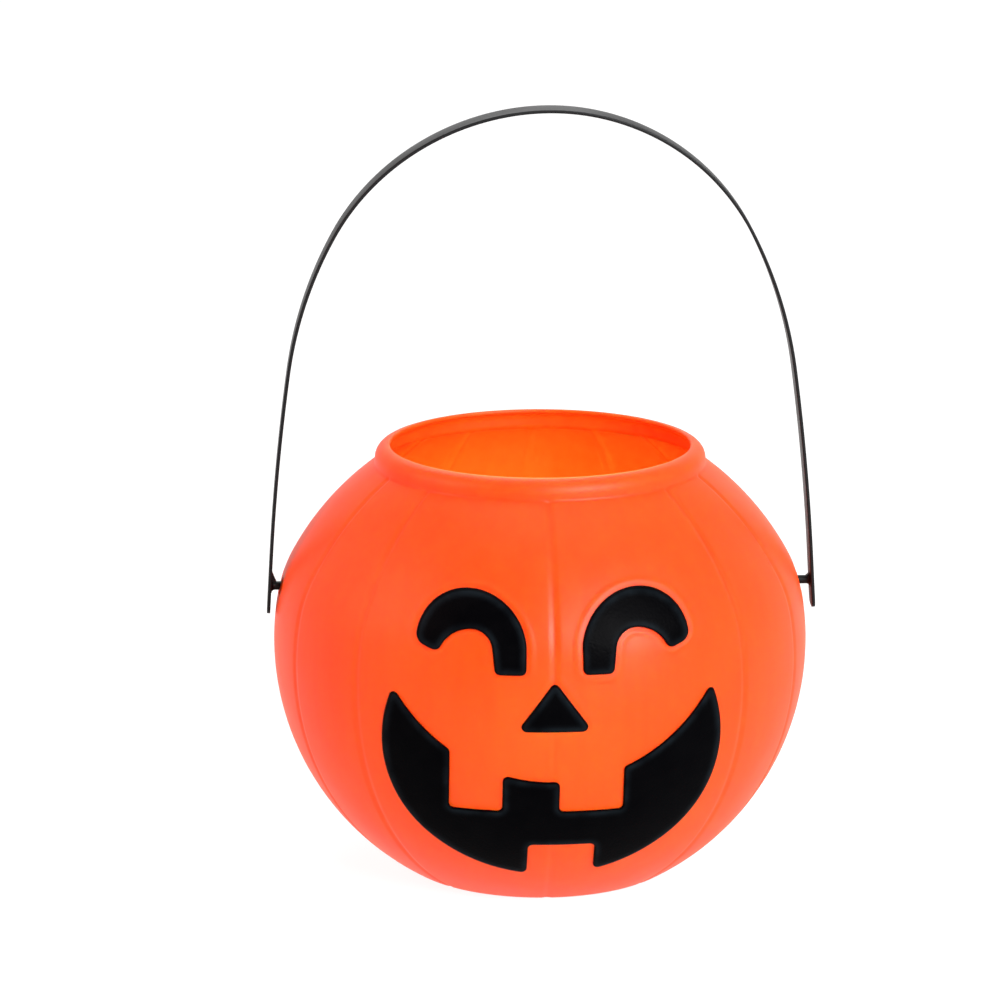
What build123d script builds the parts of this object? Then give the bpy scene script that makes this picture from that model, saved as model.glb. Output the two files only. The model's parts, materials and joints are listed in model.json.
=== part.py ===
from build123d import *
from math import acos, asin, atan2, cos, degrees, isclose, radians, sin, sqrt, tan
import os

# A blow-moulded pumpkin pail with a raised, coated face and a snap-in strap handle.
# Millimetres, +Z up, origin at the middle of the standing ring, face towards -Y.

# Round belly, tighter shoulder, flatter top and the collar on it
body_radius = 80.0
shoulder_radius = 39.0
shoulder_start = 10.0  # degrees up from the equator
shoulder_end = 29.0
collar_radius = 49.4
collar_height = 6.0
bead_share = 0.7  # rounded part of the collar's height
valley_radius = 1.5  # hollow between shoulder and collar
wall = 1.2

# Standing ring and the push-up inside it
base_radius = 38.73
ring_width = 6.0
pushup_height = 2.0
pushup_slope = 3.0
foot_radius = 8.0
ring_edge_radius = 0.8

# Moulded grooves, on a full circle of places with some left bare
groove_places = 16
bare_places = (1, 4, 12, 15)  # beside the nose line, and over the pegs
groove_width = 3.3
groove_depth = 1.0
groove_end_gap = 0.3  # short of the collar

# Raised face and the coat on it
emboss_height = 0.9
coat = 0.2

# The face is laid out in shares of its half width, which follows the belly's radius
face_half_width_share = 0.6125

# Eyes: an arched lobe beside a straight leg, drawn for the right one in shares of its radius
eye_offset_share = 0.484
eye_rise_share = 0.351
eye_radius_share = 0.318
leg_outer_shares = (-0.985, -0.442)
leg_inner_shares = (-0.435, -0.442)
arch_start_shares = (-0.995, 0.04)
arch_top_shares = (0.0, 1.0)
arch_end_shares = (0.995, 0.05)
lobe_inner_shares = (0.615, -0.1)
vault_top_shares = (-0.02, 0.353)
vault_foot_shares = (-0.391, 0.0)
leg_round = 1.3
lobe_outer_round = 1.6
lobe_inner_round = 0.9

# Nose: a rounded triangle
nose_drop_share = 0.129
nose_height_share = 0.296
nose_width_share = 0.435
nose_round = 1.2

# Mouth: a crescent with two upper teeth and one lower tooth left orange
grin_drop_share = 0.245
grin_depth_share = 0.898
grin_side_share = 0.837  # rounder towards the corners than along the bottom
lip_radius_share = 1.098
lip_drop_share = 0.461
upper_teeth_shares = ((-0.616, 0.318), (0.03, 0.387))  # left edge and width
upper_drop_share = 0.663
lower_tooth_shares = (-0.147, 0.404)
lower_drop_share = 0.914
tooth_round = 1.0

# Strap handle, one moulding with its two pegs
pivot_rise = 17.0
strap_gap = 2.1  # from the belly to where the straight ends begin
strap_thickness = 0.8
strap_width = 9.5
arch_height = 143.6
crown_radius_share = 0.864
crown_half_angle = 62.0
haunch_radius_share = 1.543
haunch_angle = 20.0
end_above_pivot = 7.0
end_below_pivot = 8.0
tail_round = 2.6

# Pegs, with a web above and a flare at the root
peg_radius = 1.3
peg_clearance = 0.08
peg_flare = 0.7
web_height = 4.0
web_depth = 1.5
web_thickness = 1.6
head_radius = 2.3
head_band = 0.7
head_length = 2.6
head_tip_share = 0.55
head_gap = 0.3

# Dished flat on the belly round each peg hole
pad_radius = 5.7
pad_depth = 0.45

overrun = 2.0

# Places worked out from the sizes above: the three arcs share their normals where they meet
equator_height = sqrt(body_radius**2 - base_radius**2)
face_half_width = face_half_width_share * body_radius
shoulder_reach = (body_radius - shoulder_radius) * cos(radians(shoulder_start))
shoulder_height = equator_height + (body_radius - shoulder_radius) * sin(radians(shoulder_start))
top_radius = shoulder_radius + shoulder_reach / cos(radians(shoulder_end))
top_height = shoulder_height - shoulder_reach * tan(radians(shoulder_end))
collar_foot = top_height + sqrt(top_radius**2 - collar_radius**2)
rim_height = collar_foot + collar_height
bead_radius = bead_share * collar_height
mouth_radius = collar_radius - bead_radius
pivot_height = equator_height + pivot_rise
pivot_lean = asin((pivot_height - shoulder_height) / shoulder_radius)
pivot_radius = shoulder_reach + shoulder_radius * cos(pivot_lean)


def corner(sketch, point, radius):
    return fillet(sketch.vertices().sort_by_distance(point)[0], radius)


# Half section of the pail, drawn in by inset: its arcs keep their centres
def half_section(inset):
    side = collar_radius - inset
    foot_turn = degrees(asin((equator_height - inset) / (body_radius - inset)))
    valley_turn = degrees(acos(side / (top_radius - inset)))
    shoulder_turn = shoulder_end - shoulder_start
    belly = CenterArc((0, equator_height), body_radius - inset, -foot_turn, foot_turn + shoulder_start)
    shoulder_middle = (shoulder_reach, shoulder_height)
    shoulder = CenterArc(shoulder_middle, shoulder_radius - inset, shoulder_start, shoulder_turn)
    top = CenterArc((0, top_height), top_radius - inset, shoulder_end, valley_turn - shoulder_end)
    slope_shift = inset * tan(atan2(pushup_height, pushup_slope) / 2)
    ring_edge = (base_radius - ring_width + slope_shift, inset)
    floor_edge = (ring_edge[0] - pushup_slope, pushup_height + inset)
    bead_top = (mouth_radius, rim_height - inset)
    bead_side = (side, rim_height - bead_radius)
    base = Polyline(belly @ 0, ring_edge, floor_edge, (0, floor_edge[1]), (0, bead_top[1]), bead_top)
    bead = TangentArc(bead_top, bead_side, tangent=(1, 0))
    outline = make_face(belly + shoulder + top + Line(top @ 1, bead_side) + bead + base)
    outline = corner(outline, top @ 1, valley_radius + inset)
    outline = corner(outline, belly @ 0, foot_radius - inset)
    outline = corner(outline, ring_edge, ring_edge_radius)
    return corner(outline, floor_edge, ring_edge_radius)


def plain_form(inset):
    return revolve(Plane.XZ * half_section(inset), Axis.Z)


# A vee bent along the three arcs; cutting it away leaves one groove
def groove_vees(inset):
    flank = atan2(groove_depth, groove_width / 2)
    depth = groove_depth + inset / cos(flank)
    half_width = (depth + groove_depth) / tan(flank)
    vee = make_face(Polyline((-depth, 0), (groove_depth, half_width), (groove_depth, -half_width), close=True))

    def bend(out, up, radius, start, end):
        section = Pos(out, 0, up) * Rot(0, -start, 0) * Pos(radius, 0, 0) * vee
        return revolve(section, Axis((out, 0, up), (0, -1, 0)), end - start)

    belly_start = -degrees(asin(equator_height / body_radius) + overrun / body_radius)
    top_end = degrees(acos((collar_radius + groove_end_gap) / top_radius) + inset / top_radius)
    cutter = bend(0, equator_height, body_radius, belly_start, shoulder_start)
    cutter += bend(shoulder_reach, shoulder_height, shoulder_radius, shoulder_start, shoulder_end)
    cutter += bend(0, top_height, top_radius, shoulder_end, top_end)
    step = 360 / groove_places
    places = [place for place in range(groove_places) if place not in bare_places]
    return [Rot(0, 0, place * step - 90) * cutter for place in places]


# A round flat on each side of the belly, square to the wall there
def pads(inset):
    outward = (cos(pivot_lean), 0, sin(pivot_lean))
    seat = Plane((pivot_radius, 0, pivot_height), x_dir=(0, 1, 0), z_dir=outward)
    depth = pad_depth + inset
    bottom_up = (Align.CENTER, Align.CENTER, Align.MIN)
    pad = seat.offset(-depth) * Cylinder(pad_radius + inset, depth + overrun, align=bottom_up)
    return [pad, mirror(pad, Plane.YZ)]


def eye_outline(rounded):
    radius = eye_radius_share * face_half_width
    middle_height = equator_height + eye_rise_share * face_half_width

    def at(shares):
        return (eye_offset_share * face_half_width + shares[0] * radius, middle_height + shares[1] * radius)

    arch = ThreePointArc(at(arch_start_shares), at(arch_top_shares), at(arch_end_shares))
    lobe_end = Line(arch @ 1, at(lobe_inner_shares))
    far_vault = TangentArc(at(vault_top_shares), lobe_end @ 1, tangent=(1, 0))
    near_vault = TangentArc(at(vault_top_shares), at(vault_foot_shares), tangent=(-1, 0))
    leg = Polyline(near_vault @ 1, at(leg_inner_shares), at(leg_outer_shares), arch @ 0)
    outline = make_face(arch + lobe_end + far_vault + near_vault + leg)
    if rounded:
        outline = corner(outline, at(leg_outer_shares), leg_round)
        outline = corner(outline, at(leg_inner_shares), leg_round)
        outline = corner(outline, at(arch_end_shares), lobe_outer_round)
        outline = corner(outline, at(lobe_inner_shares), lobe_inner_round)
    return outline


def nose_outline(rounded):
    base = equator_height - nose_drop_share * face_half_width
    tip = (0, base + nose_height_share * face_half_width)
    half_width = nose_width_share * face_half_width / 2
    outline = make_face(Polyline((-half_width, base), (half_width, base), tip, close=True))
    return fillet(outline.vertices(), nose_round) if rounded else outline


def mouth_outline(rounded):
    widest_height = equator_height - grin_drop_share * face_half_width
    depth = grin_depth_share * face_half_width
    side_radius = grin_side_share * face_half_width
    side_offset = face_half_width - side_radius
    bottom_radius = (side_offset**2 + depth**2 - side_radius**2) / (2 * (depth - side_radius))
    turn = degrees(atan2(bottom_radius - depth, side_offset))
    side = CenterArc((side_offset, widest_height), side_radius, -turn, 90 + turn)
    far_side = mirror(side, Plane.YZ)
    bottom = ThreePointArc(side @ 0, (0, widest_height - depth), far_side @ 0)
    outline = make_face(bottom + side + Line(side @ 1, far_side @ 1) + far_side)
    lip_radius = lip_radius_share * face_half_width
    lip_height = equator_height - lip_drop_share * face_half_width
    outline -= Pos(0, lip_height + lip_radius) * Circle(lip_radius)

    def tooth(shares, drop_share, below):
        left, width, drop = (share * face_half_width for share in (*shares, drop_share))
        stand = Align.MAX if below else Align.MIN
        return Pos(left, equator_height - drop) * Rectangle(width, drop, align=(Align.MIN, stand))

    for shares in upper_teeth_shares:
        outline -= tooth(shares, upper_drop_share, False)
    outline -= tooth(lower_tooth_shares, lower_drop_share, True)
    corners = outline.vertices().filter_by(lambda vertex: not isclose(vertex.Y, (side @ 0).Y))
    return fillet(corners, tooth_round) if rounded else outline


outlines = {
    "left_eye": lambda rounded: mirror(eye_outline(rounded), Plane.YZ),
    "right_eye": eye_outline,
    "nose": nose_outline,
    "mouth": mouth_outline,
}


# An outline moved out by distance and redrawn in plain lines and arcs
def grown(outline, distance):
    def plain(edge):
        if edge.geom_type == GeomType.LINE:
            return Line(edge @ 0, edge @ 1)
        return ThreePointArc(edge @ 0, edge @ 0.5, edge @ 1)

    return make_face([plain(edge) for edge in offset(outline, distance).edges()])


# The face is pushed out along Y, the way the mould opens
def prism(outline):
    return extrude(Plane.XZ * outline, amount=body_radius + emboss_height + overrun)


# The whole pail as a solid, drawn in by inset: its grooves, pads and raised face
def form(inset):
    body = plain_form(inset) - groove_vees(inset) - pads(inset)
    raised = plain_form(inset - emboss_height)
    for draw in outlines.values():
        outline = grown(draw(False), -inset) if inset else draw(True)
        body += raised & prism(outline)
    return body


# The inside is the outside drawn in by the wall, so grooves show inside as ridges
def pail_shell(outer):
    mouth_cut = Pos(0, 0, rim_height) * Cylinder(mouth_radius, 2 * (wall + overrun))
    peg_holes = Cylinder(peg_radius + peg_clearance, 2 * (body_radius + overrun))
    return outer - form(wall) - mouth_cut - Pos(0, 0, pivot_height) * Rot(0, 90, 0) * peg_holes


# A coat over the top and sides of one raised part of the face
def face_coat(draw, outer):
    return (plain_form(-emboss_height - coat) & prism(grown(draw(True), coat))) - outer


# Middle line of half the strap, with the peg axis at the origin
def strap_lines():
    half_span = pivot_radius + strap_gap + strap_thickness / 2
    crown_radius = crown_radius_share * half_span
    crown = CenterArc((0, arch_height - crown_radius), crown_radius, 90, -crown_half_angle)
    haunch = JernArc(crown @ 1, crown % 1, haunch_radius_share * half_span, -haunch_angle)
    leg = TangentArc(haunch @ 1, (half_span, end_above_pivot), tangent=haunch % 1)
    tail = Line(leg @ 1, leg @ 1 + (leg % 1) * (end_above_pivot + end_below_pivot))
    return crown + haunch + leg + tail, tail


# Peg flared into the strap, with a web above it and a snap head behind the wall
def peg(tail):
    slope = (tail % 0).X / (tail % 0).Y

    def middle(height):
        return (tail @ 0).X + (height - end_above_pivot) * slope

    face = middle(0) - strap_thickness / 2
    wall_back = pivot_radius - (pad_depth + wall) / cos(pivot_lean)
    head_back = wall_back - head_radius * tan(pivot_lean) - head_gap
    head_tip = head_back - head_length
    side = Polyline(
        (middle(0), 0),
        (middle(0), peg_radius + peg_flare),
        (face, peg_radius + peg_flare),
        (face - peg_flare, peg_radius),
        (head_back, peg_radius),
        (head_back, head_radius),
        (head_back - head_band, head_radius),
        (head_tip, head_radius * head_tip_share),
        (head_tip, 0),
        close=True,
    )
    turned = revolve(Plane.XZ * make_face(side), Axis.X)
    web_side = Polyline(
        (middle(0), 0),
        (face - web_depth, 0),
        (face - web_depth, peg_radius),
        (middle(web_height) - strap_thickness / 2, web_height),
        (middle(web_height), web_height),
        close=True,
    )
    return turned + extrude(Plane.XZ * make_face(web_side), amount=web_thickness / 2, both=True)


def handle():
    half, tail = strap_lines()
    band = trace(half + mirror(half, Plane.YZ), strap_thickness)
    strap = extrude(Plane.XZ * band, amount=strap_width / 2, both=True)
    tail_ends = strap.faces().sort_by(Axis.Z)[:2]
    strap = fillet(tail_ends.edges().filter_by(Axis.Y, reverse=True), tail_round)
    right_peg = peg(tail)
    return Pos(0, 0, pivot_height) * (strap + right_peg + mirror(right_peg, Plane.YZ))


pail_form = form(0)
nodes = {"pail_shell": pail_shell(pail_form), "handle": handle()}
for name, draw in outlines.items():
    nodes[name] = face_coat(draw, pail_form)

os.makedirs("parts", exist_ok=True)
for name, piece in nodes.items():
    export_step(piece, f"parts/{name}.step")
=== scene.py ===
import json
import math

import bpy
import numpy as np
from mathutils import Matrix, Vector
from mathutils.geometry import delaunay_2d_cdt


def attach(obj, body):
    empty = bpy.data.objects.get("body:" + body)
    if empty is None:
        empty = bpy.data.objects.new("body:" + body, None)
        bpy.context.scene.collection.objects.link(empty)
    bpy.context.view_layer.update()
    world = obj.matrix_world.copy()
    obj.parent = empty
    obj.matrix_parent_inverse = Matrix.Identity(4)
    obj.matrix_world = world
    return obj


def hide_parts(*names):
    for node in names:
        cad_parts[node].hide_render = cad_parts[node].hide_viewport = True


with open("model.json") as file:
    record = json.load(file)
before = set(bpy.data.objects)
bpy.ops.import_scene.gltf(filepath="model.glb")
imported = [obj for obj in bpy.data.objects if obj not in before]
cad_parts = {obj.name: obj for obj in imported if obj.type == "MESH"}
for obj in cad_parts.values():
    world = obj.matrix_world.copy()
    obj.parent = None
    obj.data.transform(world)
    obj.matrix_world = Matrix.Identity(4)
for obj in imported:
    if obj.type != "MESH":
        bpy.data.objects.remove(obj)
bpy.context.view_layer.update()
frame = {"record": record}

mm = 0.001
pivotHeight = frame["record"]["behaviour"]["joints"][0]["pos_m"][2] / mm
print("frame loaded, handle pivot at", round(pivotHeight, 2), "mm")


def toLinear(hexColour):
    channels = [int(hexColour[i:i + 2], 16) / 255 for i in (1, 3, 5)]
    linear = [c / 12.92 if c <= 0.04045 else ((c + 0.055) / 1.055) ** 2.4 for c in channels]
    return (*linear, 1.0)


def addNode(tree, kind, inputs=None, **settings):
    node = tree.nodes.new(kind)
    for key, value in settings.items():
        setattr(node, key, value)
    for key, value in (inputs or {}).items():
        if isinstance(value, bpy.types.NodeSocket):
            tree.links.new(value, node.inputs[key])
        else:
            node.inputs[key].default_value = value
    return node


def newMaterial(name):
    material = bpy.data.materials.new(name)
    material.use_nodes = True
    tree = material.node_tree
    tree.nodes.clear()
    return material, tree, addNode(tree, "ShaderNodeTexCoord").outputs["Object"]


def newPiece(name, verts, faces):
    mesh = bpy.data.meshes.new(name)
    mesh.from_pydata([tuple(v) for v in np.asarray(verts) * mm], [], faces)
    mesh.validate()
    mesh.shade_smooth()
    piece = bpy.data.objects.new(name, mesh)
    bpy.context.scene.collection.objects.link(piece)
    return piece


def dress(piece, material, slot, body, *nodes):
    piece.data.materials.clear()
    piece.data.materials.append(material)
    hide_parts(*nodes)
    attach(piece, body)


def smooth(share):
    t = np.clip(share, 0.0, 1.0)
    return t * t * (3 - 2 * t)


def unitRows(vectors):
    return vectors / np.linalg.norm(vectors, axis=1)[:, None]


def lengthAlong(points):
    return np.concatenate([[0], np.cumsum(np.linalg.norm(np.diff(points, axis=0), axis=1))])


def onCircle(centre, radius, angles):
    turn = np.radians(angles)
    return np.column_stack([centre[0] + radius * np.cos(turn), centre[1] + radius * np.sin(turn)])


# arc that leaves start along direction and ends at end
def arcFrom(start, direction, end, count=40):
    start, end = np.array(start, float), np.array(end, float)
    along = np.array(direction, float) / np.linalg.norm(direction)
    side = np.array([-along[1], along[0]])
    chord = end - start
    reach = chord @ side
    if abs(reach) < 1e-9:
        return np.linspace(start, end, count)
    radius = (chord @ chord) / (2 * reach)  # signed, positive bends left
    angles = np.linspace(0, 2 * math.atan2(reach, chord @ along), count)
    ahead, aside = radius * np.sin(angles), radius * (1 - np.cos(angles))
    return start + np.outer(ahead, along) + np.outer(aside, side)


# quads between the closed rows of a grid of points that starts at index first, without those gone
def gridFaces(rows, columns, first=0, gone=()):
    faces = []
    for row in range(rows - 1):
        low, high = first + row * columns, first + (row + 1) * columns
        for column in range(columns):
            after = (column + 1) % columns
            if (row, column) not in gone:
                faces.append((low + column, low + after, high + after, high + column))
    return faces


# quads between two rings of as many points
def bandFaces(near, far):
    return list(zip(near, near[1:] + near[:1], far[1:] + far[:1], far))


def turnOver(faces):
    return [corners[::-1] for corners in faces]


# Pail wall, millimetres and degrees

wallSizes = {
    "bellyRadius": 80.0,
    "baseRadius": 38.73,
    "shoulderRadius": 39.0,
    "shoulderStart": 10.0,
    "shoulderEnd": 29.0,
    "collarRadius": 49.4,
    "collarHeight": 6.0,
    "beadShare": 0.7,  # rounded part of the collar's height
    "valleyRadius": 1.5,
    "footRadius": 8.0,
    "ringWidth": 6.0,  # standing ring
    "pushUp": 2.0,
    "pushUpSlope": 3.0,
    "ringRound": 0.8,
    "wall": 1.2,
    "collarWall": 2.1,  # the blown wall is thicker in the collar
    "lipWall": 1.4,
    "lipRound": 0.35,  # how far the trimmed lip bulges into the mouth
    "rowSteps": (1.1, 3.0),  # outside and inside
    "closeRows": ((0.5, 81.0, 106.0), (1.0, 80.0, 94.0)),  # step, from, to: eyes, pegs inside
    "fewestRows": 7,  # to an arc
    "grooveTurn": 22.5,
    "bareTurns": (1, 4, 12, 15),  # beside the nose line, and over the pegs
    "grooveDepth": 0.36,
    "grooveHalfWidth": 1.7,
    "padRadius": 5.7,  # dished flat round each peg
    "padDepth": 0.45,
    "padEdge": (0.5, 0.8),  # soft edge: how far out it starts, and its width
    "bossRadius": 2.9,  # low ring round the hole
    "bossRise": 0.35,
    "bossEdge": (0.4, 0.8),
    "pegHoleRadius": 1.38,
    "holeBlock": (5, 3),  # rows and columns opened to each side of a hole
    "faceRise": 0.9,
    "faceFlank": (0.2, 1.4),  # how far inside its outline the rise starts, and its width
    "faceCosine": 0.2,  # further round than this the wall carries no face
    "faceBeadRise": 0.22,  # low bead that the mould leaves round the eyes and nose
    "faceBeadReach": 1.65,
    "faceBeadSpread": 0.5,
}

w = wallSizes
bellyRadius = w["bellyRadius"]
equator = math.sqrt(bellyRadius ** 2 - w["baseRadius"] ** 2)
shoulderIn = bellyRadius - w["shoulderRadius"]
shoulderStart, shoulderEnd = (math.radians(w[key]) for key in ("shoulderStart", "shoulderEnd"))
shoulderReach = shoulderIn * math.cos(shoulderStart)
shoulderHeight = equator + shoulderIn * math.sin(shoulderStart)
topRadius = w["shoulderRadius"] + shoulderReach / math.cos(shoulderEnd)
topHeight = shoulderHeight - shoulderReach * math.tan(shoulderEnd)
rimHeight = topHeight + math.sqrt(topRadius ** 2 - w["collarRadius"] ** 2) + w["collarHeight"]
beadRadius = w["beadShare"] * w["collarHeight"]
mouthRadius = w["collarRadius"] - beadRadius
valleyReach = w["collarRadius"] + w["valleyRadius"]
valleyHeight = topHeight + math.sqrt((topRadius + w["valleyRadius"]) ** 2 - valleyReach ** 2)
valleyTurn = math.degrees(math.acos(valleyReach / (topRadius + w["valleyRadius"])))
footReach = math.sqrt((bellyRadius - w["footRadius"]) ** 2 - (equator - w["footRadius"]) ** 2)
footTurn = math.degrees(math.atan2(w["footRadius"] - equator, footReach))
pivotLean = math.asin((pivotHeight - shoulderHeight) / w["shoulderRadius"])
pivotRadius = shoulderReach + w["shoulderRadius"] * math.cos(pivotLean)

# centre, radius, start and end angle, and +1 where the wall bulges, -1 where it hollows
wallArcs = [
    ((footReach, w["footRadius"]), w["footRadius"], -90, footTurn, 1),
    ((0, equator), bellyRadius, footTurn, w["shoulderStart"], 1),
    ((shoulderReach, shoulderHeight), w["shoulderRadius"],
     w["shoulderStart"], w["shoulderEnd"], 1),
    ((0, topHeight), topRadius, w["shoulderEnd"], valleyTurn, 1),
    ((valleyReach, valleyHeight), w["valleyRadius"], 180 + valleyTurn, 180, -1),
    ((mouthRadius, rimHeight - beadRadius), beadRadius, 0, 90, 1),
]
footArc, valleyArc, beadArc = 0, 4, 5
arcSamples = 2001  # to find an arc's rows by


# radius, height, outward normal and groove strength up the wall, drawn in by inset
def wallRows(inset):
    inside = 1 if inset else 0
    closeStep, low, high = w["closeRows"][inside]
    collar, lip = (inset * w[key] / w["wall"] for key in ("collarWall", "lipWall"))
    rows = []
    for number, (centre, radius, start, end, bulge) in enumerate(wallArcs):
        fine = np.linspace(start, end, arcSamples)
        height = centre[1] + radius * np.sin(np.radians(fine))
        step = np.where((height > low) & (height < high), closeStep, w["rowSteps"][inside])
        shares = radius * np.radians(np.abs(np.diff(fine))) / step[:-1]
        passed = np.concatenate([[0], np.cumsum(shares)])
        count = max(w["fewestRows"], math.ceil(passed[-1])) + 1
        angles = np.interp(np.linspace(0, passed[-1], count), passed, fine)
        travel = smooth(np.linspace(0, 1, count))
        depth, strength = inset, np.ones(count)
        if number == footArc:
            strength = travel
        if number == valleyArc:
            depth = inset + (collar - inset) * travel
            strength = 1 - travel  # the grooves run out where the collar starts
        if number == beadArc:
            depth = collar + (lip - collar) * travel
            strength = np.zeros(count)
        points = onCircle(centre, radius - bulge * depth, angles)
        normals = bulge * onCircle((0, 0), 1, angles)
        # all arcs but these start where the last one ends
        first = 0 if number in (footArc, beadArc) else 1
        rows.append(np.column_stack([points, normals, strength])[first:])
    return np.vstack(rows)


def roundCorner(before, corner, after, radius, count=5):
    u = np.array(before) - corner
    v = np.array(after) - corner
    u, v = u / np.linalg.norm(u), v / np.linalg.norm(v)
    reach = radius / math.tan(math.acos(np.clip(u @ v, -1, 1)) / 2)
    return arcFrom(corner + u * reach, -u, corner + v * reach, count)


# under side: flat middle, slope down to the standing ring, and both corners rounded
def baseRows(inset, firstReach):
    slopeShift = inset * math.tan(math.atan2(w["pushUp"], w["pushUpSlope"]) / 2)
    ring = np.array([w["baseRadius"] - w["ringWidth"] + slopeShift, inset])
    floor = np.array([ring[0] - w["pushUpSlope"], w["pushUp"] + inset])
    centre = np.array([0.0, floor[1]])
    floorBend = roundCorner(centre, floor, ring, w["ringRound"])
    ringBend = roundCorner(floor, ring, (firstReach, inset), w["ringRound"])
    steps = np.linspace(0, 1, 9)[1:-1]
    plate = np.column_stack([floorBend[0][0] * steps, np.full(len(steps), floor[1])])
    points = np.vstack([plate, floorBend, ringBend])
    still = np.zeros((len(points), 3))  # no normal and no grooves under there
    return np.hstack([points, still])


# wall radius at a height, moved out along its normal by rise
def wallRadius(height, rise):
    height = np.asarray(height, float)
    bellyTop = equator + (bellyRadius + rise) * math.sin(shoulderStart)
    shoulderTop = shoulderHeight + (w["shoulderRadius"] + rise) * math.sin(shoulderEnd)

    def across(middle, radius):
        return np.sqrt(np.maximum((radius + rise) ** 2 - (height - middle) ** 2, 0))

    belly = across(equator, bellyRadius)
    shoulder = shoulderReach + across(shoulderHeight, w["shoulderRadius"])
    top = across(topHeight, topRadius)
    return np.where(height < bellyTop, belly, np.where(height < shoulderTop, shoulder, top))


grooveTurns = [n * w["grooveTurn"] for n in range(round(360 / w["grooveTurn"]))
               if n not in w["bareTurns"]]


# degrees to the nearest of some places round the wall
def nearestTurn(turns, places):
    gaps = (np.asarray(turns)[..., None] - np.array(places) + 180) % 360 - 180
    return np.abs(gaps).min(axis=-1)


# soft moulded groove, by the distance round the wall from the nearest one
def grooveDepth(turns, reach):
    away = np.radians(nearestTurn(turns, grooveTurns)) * reach
    share = np.clip(away / w["grooveHalfWidth"], 0, 1)
    return w["grooveDepth"] * 0.5 * (1 + np.cos(math.pi * share))


# Face outlines, seen from the front as across and up, in shares of the face's half width

faceShares = {
    "halfWidth": 0.6125,  # of the belly's radius
    "eyeMiddle": (0.484, 0.351),
    "eyeRadius": 0.318,  # the eye's other shares are of this
    "archTop": (0.0, 1.0),
    "archEnds": ((0.995, 0.05), (-0.995, 0.04)),
    "lobeInner": (0.615, -0.1),
    "vaultTop": (-0.02, 0.353),
    "vaultFoot": (-0.391, 0.0),
    "legInner": (-0.435, -0.442),
    "legOuter": (-0.985, -0.442),
    "noseDrop": 0.129,
    "noseHeight": 0.296,
    "noseWidth": 0.435,
    "grinDrop": 0.245,
    "grinDepth": 0.898,
    "grinSide": 0.837,
    "lipRadius": 1.098,
    "lipDrop": 0.461,
    "upperTeeth": ((0.03, 0.417), (-0.616, -0.298)),  # left and right edge, from the right
    "upperDrop": 0.663,
    "lowerTooth": (-0.147, 0.257),
    "lowerDrop": 0.9,
}
faceRounds = {  # corner radii, mm
    "legOuter": 1.5,
    "legInner": 1.3,
    "lobeInner": 1.9,
    "lobeOuter": 2.8,
    "nose": 1.3,
    "grinCorner": 1.0,
    "toothRoot": 1.3,
    "toothTip": 1.6,
}
outlineSteps = {  # mm
    "draft": 0.05,  # between points while the corners are found
    "points": 0.32,  # between the outline's own points
    "soft": 0.28,  # over which the joints are eased
}
faceHalf = faceShares["halfWidth"] * bellyRadius


def onFace(across, up):
    return np.array([across * faceHalf, equator + up * faceHalf])


def evenLine(points, step):
    points = np.asarray(points, float)
    travel = lengthAlong(points)
    stops = np.linspace(0, travel[-1], max(3, round(travel[-1] / step)) + 1)
    return np.column_stack([np.interp(stops, travel, points[:, axis]) for axis in (0, 1)])


# arc of a given radius that touches two lines meeting at a corner, and what is left of the lines;
# reach is how many points of each line are tried
def roundJoint(first, second, radius, reach=160, arcPoints=24):
    u, v = first[-1] - first[-2], second[1] - second[0]
    side = math.copysign(radius, u[0] * v[1] - u[1] * v[0])

    def beside(line):
        along = unitRows(np.gradient(line, axis=0))
        return line + side * np.column_stack([-along[:, 1], along[:, 0]])

    near, far = beside(first)[-reach:], beside(second)[:reach]
    gaps = np.linalg.norm(near[:, None] - far[None], axis=2)
    i, j = np.unravel_index(gaps.argmin(), gaps.shape)
    i = len(first) - len(near) + i
    arc = arcFrom(first[i], first[i] - first[i - 1], second[j], arcPoints)
    return first[:i], arc, second[j + 1:]


# closed outline from lines that meet end to end; each round is for the corner after its line
def faceOutline(lines, rounds):
    lines = [evenLine(line, outlineSteps["draft"]) for line in lines]
    arcs = [np.empty((0, 2))] * len(lines)
    for i, radius in enumerate(rounds):
        after = (i + 1) % len(lines)
        if radius:
            lines[i], arcs[i], lines[after] = roundJoint(lines[i], lines[after], radius)
    path = np.vstack([points for pair in zip(lines, arcs) for points in pair])
    even = evenLine(np.vstack([path, path[:1]]), outlineSteps["points"])[:-1]
    spread = outlineSteps["soft"] / outlineSteps["points"]
    reach = math.ceil(3 * spread)
    shifts = range(-reach, reach + 1)
    weights = np.exp(-0.5 * (np.array(shifts) / spread) ** 2)
    weights /= weights.sum()
    return sum(weight * np.roll(even, shift, axis=0) for shift, weight in zip(shifts, weights))


def eyeOutline():
    f, r = faceShares, faceRounds
    middle = onFace(*f["eyeMiddle"])

    def at(shares):
        return middle + np.array(shares) * f["eyeRadius"] * faceHalf

    top, outerEnd, legEnd = (at(shares) for shares in (f["archTop"], *f["archEnds"]))
    vault, vaultFoot, lobe = (at(f[key]) for key in ("vaultTop", "vaultFoot", "lobeInner"))
    legOuter, legInner = at(f["legOuter"]), at(f["legInner"])
    arch = np.vstack([arcFrom(top, (1, 0), outerEnd)[::-1], arcFrom(top, (-1, 0), legEnd)[1:]])
    hollow = np.vstack([arcFrom(vault, (-1, 0), vaultFoot)[::-1],
                        arcFrom(vault, (1, 0), lobe)[1:]])
    lines = [arch, (legEnd, legOuter), (legOuter, legInner), (legInner, vaultFoot),
             hollow, (lobe, outerEnd)]
    rounds = (0, r["legOuter"], r["legInner"], 0, r["lobeInner"], r["lobeOuter"])
    return faceOutline(lines, rounds)


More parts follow.
